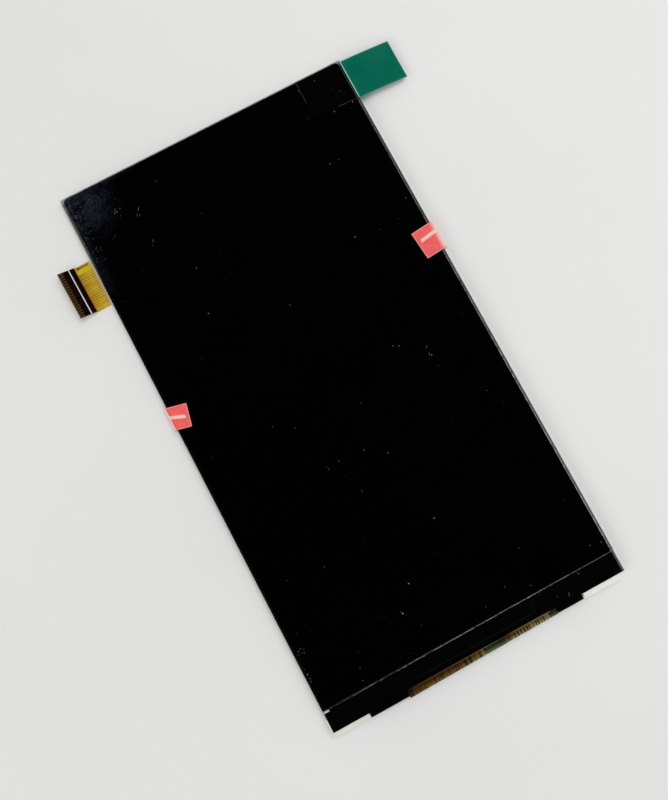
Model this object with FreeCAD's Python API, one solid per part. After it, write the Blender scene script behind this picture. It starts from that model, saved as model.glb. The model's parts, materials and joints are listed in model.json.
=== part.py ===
import FreeCAD, Part
import math
import os

# Frame of the part: millimetres, origin at the centre of the back face,
# X across the module, +Y towards the tail end, +Z out of the face.

Vec = FreeCAD.Vector

# Outline of the moulded frame
HALF_W = 32.3
HALF_L = 59.6

# Glass: it sits 0.1 off centre in the frame
GLASS_L = -32.0
GLASS_R = 32.2
GLASS_TOP = 59.4
ARRAY_END_L = -58.70
ARRAY_END_R = -58.50
LEDGE_STEP = -54.1

# Heights of the stack, each layer lies on the one before
Z_REFLECTOR = 0.08
Z_GUIDE = 0.50
Z_DIFFUSER = 0.55
Z_PRISM_1 = 0.605
Z_FRAME = 0.66
Z_RIM = 0.71
Z_POL_LOW = 0.83
Z_ARRAY = 1.08
Z_FILTER = 1.33
Z_POL_UP = 1.47
Z_FILM = 1.52
Z_BLOCK = 1.00

# Lamp window of the frame
OPEN_X = 31.4
OPEN_TOP = 58.65
GUIDE_END = -56.45
LAMP_WALL = -58.15
NOTCH_WALL = -58.75
STRIP_WALL_R = -58.57
NOTCH_L = -24.4
NOTCH_R = 22.8
GUIDE_EAR_Y = -36.0
SHEET_EAR_X = 20.0

# Lamps
LAMPS = 10
LAMP_PITCH = 6.2
LAMP_W = 3.8
LAMP_D = 1.05
LAMP_BACK = -57.55

# Lamp strip and its tab
STRIP_T = 0.10
TAB_L = -23.5
TAB_R = -17.5
TAB_END = -54.9

# Driver chip on the ledge
CHIP_HALF = 12.4
CHIP_Y0 = -56.9
CHIP_Y1 = -55.6

# Main flexible circuit
FLEX_T = 0.10
NECK_L = -15.8
NECK_R = 16.6
BOND_EDGE = -57.4
BEND_Y_L = -59.48
BEND_Y_R = -59.08
BODY_L = -27.5
BODY_R = 17.4
BODY_Y0 = -56.2
BODY_Y1 = -45.5
ARM_R = -17.3

# Tail: leaves the module at TAIL_X, curls up and runs straight to its end
TAIL_HALF = 5.1
TAIL_X = -32.4
TAIL_Y = 40.89
TAIL_TURN = -1.5
CURL_START = 2.2
CURL_R = 3.67
CURL_ANGLE = 19.0
CURL_LEN = CURL_R * math.radians(CURL_ANGLE)
TAIL_OUT = 6.95
STIFF_LEN = 3.5
STIFF_T = 0.20

# Contact fingers: two staggered rows on the underside
FINGERS = 33
FINGER_PITCH = 0.30
FINGER_T = 0.02

# Black tape on the ledge, with its two wings
TAPE_T = 0.05
TAPE_L = -31.7
TAPE_R = 31.65
WING_L0 = -24.25
WING_L1 = -15.95
WING_R0 = 16.75
WING_R1 = 22.5
WING_BEND_L = -59.12
WING_BEND_R = -59.08
TAPE_NECK_END = -58.30

# Silver dot that earths the upper glass, at the left end of the ledge
DOT_L = -31.9
DOT_R = -30.8
DOT_DEEP = 0.68

# Pull tab and seals
TAB_T = 0.05
SEAL_T = 0.06


def save(name, shape):
    shape.exportStep("parts/" + name + ".step")


def box(x0, x1, y0, y1, z0, z1):
    return Part.makeBox(x1 - x0, y1 - y0, z1 - z0, Vec(x0, y0, z0))


def upright_edges(shape):
    found = []
    for edge in shape.Edges:
        a = edge.Vertexes[0].Point
        b = edge.Vertexes[-1].Point
        if abs(a.x - b.x) < 1e-6 and abs(a.y - b.y) < 1e-6 and abs(a.z - b.z) > 1e-6:
            found.append(edge)
    return found


def round_plate(x0, x1, y0, y1, z0, z1, radius):
    block = box(x0, x1, y0, y1, z0, z1)
    return block.makeFillet(radius, upright_edges(block))


def slab(points, z0, z1):
    ring = [Vec(x, y, z0) for x, y in points]
    face = Part.Face(Part.makePolygon(ring + [ring[0]]))
    return face.extrude(Vec(0, 0, z1 - z0))


def outline_yz(start, steps, x):
    # closed outline of lines and arcs in the YZ plane
    edges = []
    here = Vec(x, start[0], start[1])
    for step in steps:
        ends = [Vec(x, y, z) for y, z in step]
        if len(ends) == 1:
            edges.append(Part.LineSegment(here, ends[0]).toShape())
        else:
            edges.append(Part.Arc(here, ends[0], ends[1]).toShape())
        here = ends[-1]
    return Part.Wire(edges)


def fold_outline(x, top_end, low_end, bend_y, z_top, z_low, thick):
    # section of a strip that runs out at the top, turns round and runs back underneath
    mid = (z_top + z_low) / 2.0
    outer = (z_top - z_low) / 2.0
    inner = outer - thick
    steps = [
        [(bend_y, z_top)],
        [(bend_y - outer, mid), (bend_y, z_low)],
        [(low_end, z_low)],
        [(low_end, z_low + thick)],
        [(bend_y, z_low + thick)],
        [(bend_y - inner, mid), (bend_y, z_top - thick)],
        [(top_end, z_top - thick)],
        [(top_end, z_top)],
    ]
    return outline_yz((top_end, z_top), steps, x)


def fold(x0, x1, *section):
    face = Part.Face(fold_outline(x0, *section))
    return face.extrude(Vec(x1 - x0, 0, 0))


def skewed_fold(x0, x1, bend_y0, bend_y1, top_end, low_end, z_top, z_low, thick):
    # the same strip, folded along a line that isn't square to it
    one = fold_outline(x0, top_end, low_end, bend_y0, z_top, z_low, thick)
    two = fold_outline(x1, top_end, low_end, bend_y1, z_top, z_low, thick)
    return Part.makeLoft([one, two], True, True)


def triangle(a, b, c):
    return Part.Face(Part.makePolygon([a, b, c, a]))


def draped_sheet(xs, ys, height, thick):
    # a thin sheet over steps: its underside follows height(x, y) at the grid points
    faces = []

    def spot(i, j, up):
        return Vec(xs[i], ys[j], height(xs[i], ys[j]) + up)

    for up in (0.0, thick):
        for i in range(len(xs) - 1):
            for j in range(len(ys) - 1):
                a = spot(i, j, up)
                b = spot(i + 1, j, up)
                c = spot(i + 1, j + 1, up)
                d = spot(i, j + 1, up)
                faces.append(triangle(a, b, c))
                faces.append(triangle(a, c, d))
    rim = [(i, 0) for i in range(len(xs))]
    rim += [(len(xs) - 1, j) for j in range(1, len(ys))]
    rim += [(i, len(ys) - 1) for i in range(len(xs) - 2, -1, -1)]
    rim += [(0, j) for j in range(len(ys) - 2, 0, -1)]
    for k, here in enumerate(rim):
        there = rim[(k + 1) % len(rim)]
        a = spot(here[0], here[1], 0.0)
        b = spot(there[0], there[1], 0.0)
        c = spot(there[0], there[1], thick)
        d = spot(here[0], here[1], thick)
        faces.append(triangle(a, b, c))
        faces.append(triangle(a, c, d))
    solid = Part.makeSolid(Part.makeShell(faces))
    if solid.Volume < 0:
        solid.reverse()
    return solid.removeSplitter()


# Backlight

def reflector_sheet():
    return round_plate(-31.9, 31.9, -58.6, 59.3, 0.0, Z_REFLECTOR, 0.5)


def frame_window():
    window = box(-OPEN_X, OPEN_X, GUIDE_END - 0.05, OPEN_TOP, 0.0, 2.0)
    window = window.makeFillet(0.4, upright_edges(window))
    lamp_room = box(-30.7, 30.7, LAMP_WALL, GUIDE_END, 0.0, 2.0)
    return window.fuse(lamp_room)


def frame_ears():
    # recesses that hold the ears of the light guide and of the loose sheets
    cuts = []
    for side in (-1, 1):
        edge = side * OPEN_X
        deep = side * (OPEN_X + 0.45)
        y = GUIDE_EAR_Y
        cuts.append(box(min(edge, deep), max(edge, deep), y - 2.0, y + 2.0, 0.0, Z_GUIDE))
        x = side * SHEET_EAR_X
        cuts.append(box(x - 2.0, x + 2.0, OPEN_TOP - 0.1, OPEN_TOP + 0.4, Z_GUIDE, 2.0))
    return cuts


def lamp_x(index):
    return (index - (LAMPS - 1) / 2.0) * LAMP_PITCH


def backlight_frame():
    frame = round_plate(-HALF_W, HALF_W, -HALF_L, HALF_L, Z_REFLECTOR, Z_FRAME, 0.5)
    guard_l = box(-HALF_W, GLASS_L - 0.03, -HALF_L, -55.9, Z_REFLECTOR, Z_BLOCK)
    end_l = box(-HALF_W, NOTCH_L, -HALF_L, NOTCH_WALL, Z_REFLECTOR, Z_BLOCK)
    end_r = box(NOTCH_R, HALF_W, -HALF_L, STRIP_WALL_R, Z_REFLECTOR, Z_BLOCK)
    frame = frame.fuse([guard_l, end_l, end_r])
    rounded = round_plate(-HALF_W, HALF_W, -HALF_L, 10.0, -1.0, 3.0, 1.0)
    beyond = box(-HALF_W - 1.0, HALF_W + 1.0, 0.0, HALF_L + 1.0, -1.0, 3.0)
    frame = frame.common(rounded.fuse(beyond))
    frame = frame.cut(frame_window())
    frame = frame.cut(box(NOTCH_L, NOTCH_R, -HALF_L - 1.0, NOTCH_WALL, -1.0, 3.0))
    for recess in frame_ears():
        frame = frame.cut(recess)
    for k in range(LAMPS - 1):
        x = lamp_x(k) + LAMP_PITCH / 2.0
        tooth = box(x - 0.8, x + 0.8, LAMP_WALL - 0.1, GUIDE_END - 0.1, Z_REFLECTOR, Z_GUIDE)
        frame = frame.fuse(tooth)
    frame = frame.cut(box(TAB_L - 0.2, TAB_R + 0.2, NOTCH_WALL - 0.1, LAMP_WALL + 0.1, Z_GUIDE, 2.0))
    frame = frame.removeSplitter()
    ends = []
    for edge in upright_edges(frame):
        p = edge.Vertexes[0].Point
        at_end = abs(p.x - NOTCH_L) < 1e-6 or abs(p.x - NOTCH_R) < 1e-6
        if at_end and abs(p.y + HALF_L) < 1e-6:
            ends.append(edge)
    return frame.makeFillet(0.35, ends)


def light_guide():
    guide = round_plate(-31.35, 31.35, GUIDE_END, OPEN_TOP - 0.05, Z_REFLECTOR, Z_GUIDE, 0.35)
    for side in (-1, 1):
        x0 = side * 31.0
        x1 = side * (OPEN_X + 0.4)
        y = GUIDE_EAR_Y
        guide = guide.fuse(box(min(x0, x1), max(x0, x1), y - 1.9, y + 1.9, Z_REFLECTOR, Z_GUIDE))
    return guide.removeSplitter()


def loose_sheet(z0, z1, ear):
    sheet = round_plate(-31.3, 31.3, -55.1, OPEN_TOP - 0.05, z0, z1, 0.35)
    for side in (-1, 1):
        x = side * SHEET_EAR_X
        sheet = sheet.fuse(box(x - ear, x + ear, OPEN_TOP - 1.0, OPEN_TOP + 0.35, z0, z1))
    return sheet.removeSplitter()


def lamp(index):
    # side-shining lamp with its window facing the light guide
    x = lamp_x(index)
    half = LAMP_W / 2.0
    front = LAMP_BACK + LAMP_D
    body = box(x - half, x + half, LAMP_BACK, front, 0.10, Z_GUIDE)
    mouth = box(x - 1.45, x + 1.45, front - 0.35, front + 0.1, 0.18, 0.42)
    mark = box(x - half - 0.1, x - half + 0.25, LAMP_BACK - 0.1, LAMP_BACK + 0.25, 0.0, 1.0)
    return body.cut(mouth).cut(mark)


def lamp_strip():
    z1 = Z_GUIDE + STRIP_T
    strip = box(-30.5, 30.5, LAMP_WALL + 0.05, -55.2, Z_GUIDE, z1)
    strip = strip.makeFillet(0.3, upright_edges(strip))
    tab = fold(TAB_L, TAB_R, LAMP_WALL + 0.5, TAB_END, -58.85, z1, -0.20, STRIP_T)
    return strip.fuse(tab).removeSplitter()


def lamp_joints():
    # solder on the three pads at the end of the tab
    joints = []
    for k in range(3):
        x = (TAB_L + TAB_R) / 2.0 + (k - 1) * 1.9
        bead = box(x - 0.6, x + 0.6, TAB_END, TAB_END + 0.7, -0.32, -FLEX_T)
        low = [e for e in bead.Edges if e.BoundBox.ZMax < -0.3]
        joints.append(bead.makeChamfer(0.14, low))
    return Part.makeCompound(joints)


def rim_tape():
    ring = round_plate(-31.9, 32.1, -58.4, 59.3, Z_FRAME, Z_RIM, 0.4)
    hole = round_plate(-31.0, 31.15, -53.1, 57.9, 0.0, 2.0, 0.5)
    return ring.cut(hole)


# Glass and films

def lower_polariser():
    return box(-31.4, 31.6, -53.7, 58.9, Z_RIM, Z_POL_LOW)


def array_outline():
    # its lower end is cut slightly askew
    return [(GLASS_L, ARRAY_END_L), (GLASS_R, ARRAY_END_R), (GLASS_R, GLASS_TOP), (GLASS_L, GLASS_TOP)]


def array_glass():
    return slab(array_outline(), Z_POL_LOW, Z_ARRAY)


def filter_glass():
    return box(GLASS_L, GLASS_R, LEDGE_STEP, GLASS_TOP, Z_ARRAY, Z_FILTER)


def cut_sheet(x0, x1, y0, y1, z0, z1):
    # die-cut sheet: wide corners at the top end, tight ones at the ledge
    sheet = box(x0, x1, y0, y1, z0, z1)
    for edge_y, radius in ((y1, 1.0), (y0, 0.3)):
        found = [e for e in upright_edges(sheet) if abs(e.Vertexes[0].Point.y - edge_y) < 1e-6]
        sheet = sheet.makeFillet(radius, found)
    return sheet


def upper_polariser():
    return cut_sheet(-31.5, 31.6, LEDGE_STEP + 0.15, 59.0, Z_FILTER, Z_POL_UP)


def protective_film():
    return cut_sheet(-31.55, 31.65, LEDGE_STEP + 0.1, 59.05, Z_POL_UP, Z_FILM)


def silver_dot():
    # bead of silver paste against the end of the upper glass
    y0 = LEDGE_STEP - DOT_DEEP
    y1 = LEDGE_STEP
    bead = box(DOT_L, DOT_R, y0, y1, Z_ARRAY, Z_ARRAY + 0.16)
    return bead.makeChamfer(0.12, [e for e in bead.Edges if e.BoundBox.ZMin > Z_ARRAY + 0.1])


def driver_chip():
    return box(-CHIP_HALF, CHIP_HALF, CHIP_Y0, CHIP_Y1, Z_ARRAY, Z_FILTER)


def tape_height(x, y):
    if abs(x) <= 12.51 and -57.01 <= y <= -55.49:
        return Z_FILTER
    if -15.95 <= x <= 16.75 and y <= -57.3:
        return Z_ARRAY + FLEX_T
    return Z_ARRAY


def shield_tape():
    xs = [TAPE_L, -24.0, -16.3, -15.9, -13.2, -12.5, 12.5, 13.2, 16.7, 17.1, 22.0, TAPE_R]
    ys = [ARRAY_END_L, -57.35, -57.0, -55.5, -55.0, LEDGE_STEP - 0.05]
    sheet = draped_sheet(xs, ys, tape_height, TAPE_T)
    sheet = sheet.common(slab(array_outline(), 0.0, 2.0))
    sheet = sheet.cut(box(WING_L1, WING_R0, ARRAY_END_L - 1.0, TAPE_NECK_END, 0.0, 2.0))
    top = Z_ARRAY + TAPE_T
    left = fold(WING_L0, WING_L1, ARRAY_END_L + 0.3, -57.2, WING_BEND_L, top, -0.25, TAPE_T)
    right = fold(WING_R0, WING_R1, ARRAY_END_L + 0.3, -57.0, WING_BEND_R, top, -0.05, TAPE_T)
    tape = sheet.fuse([left, right])
    corner = box(TAPE_L - 1.0, DOT_R + 0.1, LEDGE_STEP - DOT_DEEP - 0.1, LEDGE_STEP + 1.0, 0.0, 2.0)
    return tape.cut(corner).removeSplitter()


# Main flexible circuit

def tail_frame():
    # direction out along the tail, and across it
    turn = math.radians(TAIL_TURN)
    return (-math.cos(turn), math.sin(turn)), (math.sin(turn), math.cos(turn))


def tail_point(along, across):
    out, side = tail_frame()
    x = TAIL_X + out[0] * along + side[0] * across
    y = TAIL_Y + out[1] * along + side[1] * across
    return x, y


def curl_place(shape):
    # takes a shape built on the flat tail to the raised straight part past the curl
    out, side = tail_frame()
    turn = math.radians(CURL_ANGLE)
    x, y = tail_point(CURL_START + CURL_LEN, 0.0)
    shape.rotate(Vec(x, y, 0.0), Vec(side[0], side[1], 0.0), CURL_ANGLE)
    back = CURL_START + CURL_R * math.sin(turn) - (CURL_START + CURL_LEN)
    shape.translate(Vec(out[0] * back, out[1] * back, CURL_R * (1.0 - math.cos(turn))))
    return shape


def curl_strip():
    # section along the tail: flat, an arc upwards, then straight to the end
    def spot(angle, lift, beyond=0.0):
        a = math.radians(angle)
        along = CURL_START + (CURL_R - lift) * math.sin(a) + beyond * math.cos(a)
        up = CURL_R - (CURL_R - lift) * math.cos(a) + beyond * math.sin(a)
        x, y = tail_point(along, -TAIL_HALF)
        return Vec(x, y, up)

    def ground(along, z):
        x, y = tail_point(along, -TAIL_HALF)
        return Vec(x, y, z)

    rest = TAIL_OUT - CURL_START - CURL_LEN
    low = -FLEX_T
    half = CURL_ANGLE / 2.0
    edges = [
        Part.LineSegment(ground(-1.0, 0.0), spot(0.0, 0.0)).toShape(),
        Part.Arc(spot(0.0, 0.0), spot(half, 0.0), spot(CURL_ANGLE, 0.0)).toShape(),
        Part.LineSegment(spot(CURL_ANGLE, 0.0), spot(CURL_ANGLE, 0.0, rest)).toShape(),
        Part.LineSegment(spot(CURL_ANGLE, 0.0, rest), spot(CURL_ANGLE, low, rest)).toShape(),
        Part.LineSegment(spot(CURL_ANGLE, low, rest), spot(CURL_ANGLE, low)).toShape(),
        Part.Arc(spot(CURL_ANGLE, low), spot(half, low), spot(0.0, low)).toShape(),
        Part.LineSegment(spot(0.0, low), ground(-1.0, low)).toShape(),
        Part.LineSegment(ground(-1.0, low), ground(-1.0, 0.0)).toShape(),
    ]
    face = Part.Face(Part.Wire(edges))
    side = tail_frame()[1]
    return face.extrude(Vec(side[0] * 2.0 * TAIL_HALF, side[1] * 2.0 * TAIL_HALF, 0.0))


def tail_box(a0, a1, c0, c1, z0, z1):
    spots = [(a0, c0), (a1, c0), (a1, c1), (a0, c1)]
    return slab([tail_point(a, c) for a, c in spots], z0, z1)


def edge_at(x, across):
    # point of a long edge of the tail at a given x
    start = tail_point(0.0, across)
    turn = math.radians(TAIL_TURN)
    return x, start[1] - (x - start[0]) * math.tan(turn)


def main_flex():
    bend = skewed_fold(NECK_L, NECK_R, BEND_Y_L, BEND_Y_R, BOND_EDGE, BODY_Y0 + 0.5,
                       Z_ARRAY + FLEX_T, -FLEX_T, FLEX_T)
    outline = [
        (NECK_L, BEND_Y_L + 0.8),
        (NECK_R, BEND_Y_R + 0.8),
        (NECK_R, BODY_Y0),
        (BODY_R, BODY_Y0 + 0.8),
        (BODY_R, BODY_Y1 - 1.0),
        (BODY_R - 1.0, BODY_Y1),
        (-11.5, BODY_Y1),
        (ARM_R, BODY_Y1 + 5.8),
        (ARM_R, edge_at(ARM_R, TAIL_HALF)[1] - 1.0),
        edge_at(ARM_R - 1.0, TAIL_HALF),
        tail_point(-1.0, TAIL_HALF),
        tail_point(-1.0, -TAIL_HALF),
        edge_at(BODY_L, -TAIL_HALF),
        (BODY_L, BODY_Y0 + 0.8),
        (BODY_L + 0.8, BODY_Y0),
        (NECK_L, BODY_Y0),
    ]
    flat = slab(outline, -FLEX_T, 0.0)
    inner = []
    for edge in upright_edges(flat):
        p = edge.Vertexes[0].Point
        at_neck = abs(p.x - NECK_L) < 1e-6 and abs(p.y - BODY_Y0) < 1e-6
        at_tail = abs(p.x - BODY_L) < 1e-6 and p.y > 30.0
        if at_neck or at_tail:
            inner.append(edge)
    flat = flat.makeFillet(1.0, inner)
    return bend.fuse([flat, curl_strip()]).removeSplitter()


def tail_stiffener():
    flat = tail_box(TAIL_OUT - STIFF_LEN, TAIL_OUT, -TAIL_HALF, TAIL_HALF, 0.0, STIFF_T)
    return curl_place(flat)


def finger(index):
    # odd fingers end in a wide pad at the front, even ones in a pad further back
    c = (index - (FINGERS - 1) / 2.0) * FINGER_PITCH
    end = TAIL_OUT
    if index % 2 == 0:
        pad = (end - 1.05, end - 0.25)
    else:
        pad = (end - 2.05, end - 1.25)
    root = end - STIFF_LEN + 0.3
    half = 0.20
    thin = 0.06
    spots = [
        (root, c - thin), (pad[0], c - thin), (pad[0], c - half), (pad[1], c - half),
        (pad[1], c - thin), (end, c - thin), (end, c + thin), (pad[1], c + thin),
        (pad[1], c + half), (pad[0], c + half), (pad[0], c + thin), (root, c + thin),
    ]
    return slab([tail_point(a, b) for a, b in spots], -FLEX_T - FINGER_T, -FLEX_T)


def contact_fingers():
    return Part.makeCompound([curl_place(finger(k)) for k in range(FINGERS)])


def chip_part(x, y, along_x, length, width, tall):
    # two-ended small part: body with a slightly larger metal cap over each end
    cap = 0.25 * length
    proud = 0.03
    low = -FLEX_T - tall
    body = box(-length / 2.0 + proud, length / 2.0 - proud, -width / 2.0 + proud,
               width / 2.0 - proud, low + proud, -FLEX_T)
    for side in (-1, 1):
        a = side * length / 2.0
        b = a - side * cap
        end = box(min(a, b), max(a, b), -width / 2.0, width / 2.0, low, -FLEX_T)
        outer = [e for e in end.Edges if abs(e.CenterOfMass.x - a) < 1e-6]
        body = body.fuse(end.makeChamfer(0.04, outer))
    if not along_x:
        body.rotate(Vec(0, 0, 0), Vec(0, 0, 1), 90)
    body.translate(Vec(x, y, 0))
    return body


def capacitors():
    spots = [(-24.5 + 2.2 * k, -53.6, False) for k in range(3)]
    spots += [(-6.0 + 2.4 * k, -49.0, True) for k in range(4)]
    spots += [(9.5, -53.4, False), (11.0, -53.4, False), (12.5, -53.4, False)]
    made = [chip_part(x, y, flat, 1.0, 0.5, 0.35) for x, y, flat in spots]
    return Part.makeCompound(made)


def bulk_capacitors():
    spots = [(-12.6, -52.6), (-10.4, -52.6), (5.6, -52.2), (13.6, -49.4)]
    made = [chip_part(x, y, False, 1.6, 0.8, 0.45) for x, y in spots]
    return Part.makeCompound(made)


def resistors():
    spots = [(-2.5, -52.6), (-0.5, -52.6), (1.5, -52.6)]
    made = [chip_part(x, y, True, 1.0, 0.5, 0.30) for x, y in spots]
    return Part.makeCompound(made)


def diode():
    body = box(-24.2, -22.5, -49.6, -48.4, -0.60, -0.15)
    body = body.makeChamfer(0.08, body.Edges)
    legs = []
    for x0 in (-24.75, -22.75):
        legs.append(box(x0, x0 + 0.8, -49.2, -48.8, -0.20, -FLEX_T))
    return body.fuse(legs)


def flex_fixing_tape():
    # tape over the arm, stuck to the back on both sides of it
    z = -FLEX_T - 0.05
    section = [
        (-31.0, -0.05), (BODY_L - 0.5, -0.05), (BODY_L, z), (ARM_R, z), (ARM_R + 0.5, -0.05),
        (-13.8, -0.05), (-13.8, 0.0), (ARM_R + 0.55, 0.0), (ARM_R + 0.02, -FLEX_T),
        (BODY_L - 0.02, -FLEX_T), (BODY_L - 0.55, 0.0), (-31.0, 0.0),
    ]
    ring = [Vec(x, 4.0, h) for x, h in section]
    face = Part.Face(Part.makePolygon(ring + [ring[0]]))
    return face.extrude(Vec(0, 9.0, 0))


# Pull tab and seals

def bent_sheet_xz(points, thick, y0, y1):
    # sheet whose underside follows the points in the XZ plane
    upper = []
    for k, here in enumerate(points):
        before = points[max(k - 1, 0)]
        after = points[min(k + 1, len(points) - 1)]
        dx = after[0] - before[0]
        dz = after[1] - before[1]
        size = math.hypot(dx, dz)
        turn = 1.0 if points[-1][0] > points[0][0] else -1.0
        upper.append((here[0] - dz / size * thick * turn, here[1] + dx / size * thick * turn))
    ring = [Vec(x, y0, z) for x, z in points + upper[::-1]]
    face = Part.Face(Part.makePolygon(ring + [ring[0]]))
    return face.extrude(Vec(0, y1 - y0, 0))


def pull_tab():
    points = [(21.8, Z_FILM), (31.9, Z_FILM)]
    for k in range(1, 8):
        run = k / 7.0
        points.append((31.9 + 11.3 * run, Z_FILM - 0.62 * run ** 1.6))
    sheet = bent_sheet_xz(points, TAB_T, 40.0, 70.0)
    corners = [(21.7, 50.4), (43.2, 49.75), (43.25, 58.5), (21.8, 59.15)]
    return sheet.common(slab(corners, -1.0, 3.0))


def seal(points, corners):
    sheet = bent_sheet_xz(points, SEAL_T, -10.0, 40.0)
    return sheet.common(slab(corners, -1.0, 3.0))


def seal_left():
    points = [(-24.0, Z_FILM), (-31.6, Z_FILM), (-32.10, 1.40), (-32.42, 1.08)]
    points += [(-32.58, 0.75), (-32.56, 0.45), (-32.36, 0.15)]
    corners = [(-28.05, 10.55), (-34.9, 12.18), (-36.0, 7.60), (-29.15, 5.90)]
    return seal(points, corners)


def seal_right():
    points = [(24.0, Z_FILM), (31.7, Z_FILM), (32.45, 1.40), (32.85, 1.12)]
    points += [(32.95, 0.80), (32.80, 0.50), (32.45, 0.28)]
    corners = [(27.65, 19.70), (28.20, 13.70), (35.5, 14.35), (35.0, 20.40)]
    return seal(points, corners)


os.makedirs("parts", exist_ok=True)

save("reflector_sheet", reflector_sheet())
save("backlight_frame", backlight_frame())
save("light_guide", light_guide())
save("diffuser_sheet", loose_sheet(Z_GUIDE, Z_DIFFUSER, 1.9))
save("lower_prism_sheet", loose_sheet(Z_DIFFUSER, Z_PRISM_1, 1.7))
save("upper_prism_sheet", loose_sheet(Z_PRISM_1, Z_FRAME, 1.5))
for number in range(LAMPS):
    save("led_%02d" % (number + 1), lamp(number))
save("led_flex", lamp_strip())
save("led_solder_joints", lamp_joints())
save("rim_tape", rim_tape())
save("lower_polariser", lower_polariser())
save("array_glass", array_glass())
save("colour_filter_glass", filter_glass())
save("upper_polariser", upper_polariser())
save("protective_film", protective_film())
save("silver_dot", silver_dot())
save("driver_chip", driver_chip())
save("shield_tape", shield_tape())
save("main_flex", main_flex())
save("tail_stiffener", tail_stiffener())
save("contact_fingers", contact_fingers())
save("capacitors", capacitors())
save("bulk_capacitors", bulk_capacitors())
save("resistors", resistors())
save("diode", diode())
save("flex_fixing_tape", flex_fixing_tape())
save("pull_tab", pull_tab())
save("seal_left", seal_left())
save("seal_right", seal_right())
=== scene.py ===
import json
import math
import random

import bmesh
import bpy
from mathutils import Matrix, Vector

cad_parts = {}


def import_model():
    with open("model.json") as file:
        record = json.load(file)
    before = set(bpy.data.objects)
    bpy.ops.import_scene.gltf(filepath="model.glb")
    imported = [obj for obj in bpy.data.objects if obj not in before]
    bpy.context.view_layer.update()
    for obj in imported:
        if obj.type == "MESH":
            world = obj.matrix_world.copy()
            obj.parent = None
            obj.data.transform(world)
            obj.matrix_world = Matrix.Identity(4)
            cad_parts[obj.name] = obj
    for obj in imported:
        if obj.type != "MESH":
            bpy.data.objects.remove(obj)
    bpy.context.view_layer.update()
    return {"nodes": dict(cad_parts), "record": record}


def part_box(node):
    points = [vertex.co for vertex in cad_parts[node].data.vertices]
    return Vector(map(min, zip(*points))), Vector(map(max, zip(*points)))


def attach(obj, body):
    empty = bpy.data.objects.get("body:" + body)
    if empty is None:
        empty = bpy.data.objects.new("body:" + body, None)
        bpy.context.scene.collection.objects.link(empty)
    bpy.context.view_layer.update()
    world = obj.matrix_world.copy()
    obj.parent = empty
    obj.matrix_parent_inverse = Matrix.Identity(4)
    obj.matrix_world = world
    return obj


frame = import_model()

MM = 0.001
UP = Vector((0.0, 0.0, 1.0))
DOWN = Vector((0.0, 0.0, -1.0))
ALONG_X = Vector((1.0, 0.0, 0.0))
ALONG_Y = Vector((0.0, 1.0, 0.0))


def node_box(name):
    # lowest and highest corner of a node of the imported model, in millimetres
    return [[round(v / MM, 3) for v in corner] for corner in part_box(name)]


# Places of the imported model, in millimetres
FILM_BOX = node_box("protective_film")
FILM_X0, FILM_Y0 = FILM_BOX[0][:2]
FILM_X1, FILM_Y1, FILM_Z = FILM_BOX[1]
FILTER_Z = node_box("colour_filter_glass")[1][2]
TAPE_Z = 1.13
TAPE_NECK_END = -58.3

# Circuit: its fold between the tape and the underside, and its arm there
FLEX_LOW = node_box("main_flex")[0][2]
FLEX_TOP = 1.18
BEND_R = (FLEX_TOP - FLEX_LOW) / 2.0
NECK_L = -15.8
NECK_R = 16.6
BEND_Y_L = -59.48
BEND_Y_R = -59.08
BODY_L = -27.5
BODY_Y0 = -56.2

# Tail: straight out of the module, then curled up, with the stiffener at its end
TAIL_X = -32.4
TAIL_Y = 40.89
TAIL_TURN = math.radians(-1.5)
TAIL_SIDE = Vector((math.sin(TAIL_TURN), math.cos(TAIL_TURN), 0.0))
TAIL_OUTWARD = Vector((-math.cos(TAIL_TURN), math.sin(TAIL_TURN), 0.0))
TAIL_HALF = 5.1
CURL_START = 2.2
CURL_R = 3.67
CURL_ANGLE = math.radians(19.0)
TAIL_END = 6.95
STIFF_START = TAIL_END - 3.5
STIFF_T = 0.2

# Pull tab, which droops past the edge of the module
TAB_TOP = FILM_Z + 0.05
TAB_BEND = 31.9
TAB_RUN = 11.3
TAB_DROP = 0.62

# How far a thin mark sinks into the face that carries it
SINK = 0.004


# Meshes

def add_object(name, data):
    obj = bpy.data.objects.new(name, data)
    bpy.context.scene.collection.objects.link(obj)
    return obj


def rays(up, sides):
    # directions square to up, evenly round it
    one = up.orthogonal().normalized()
    two = up.cross(one)
    turns = [2.0 * math.pi * k / sides for k in range(sides)]
    return [one * math.cos(a) + two * math.sin(a) for a in turns]


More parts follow.
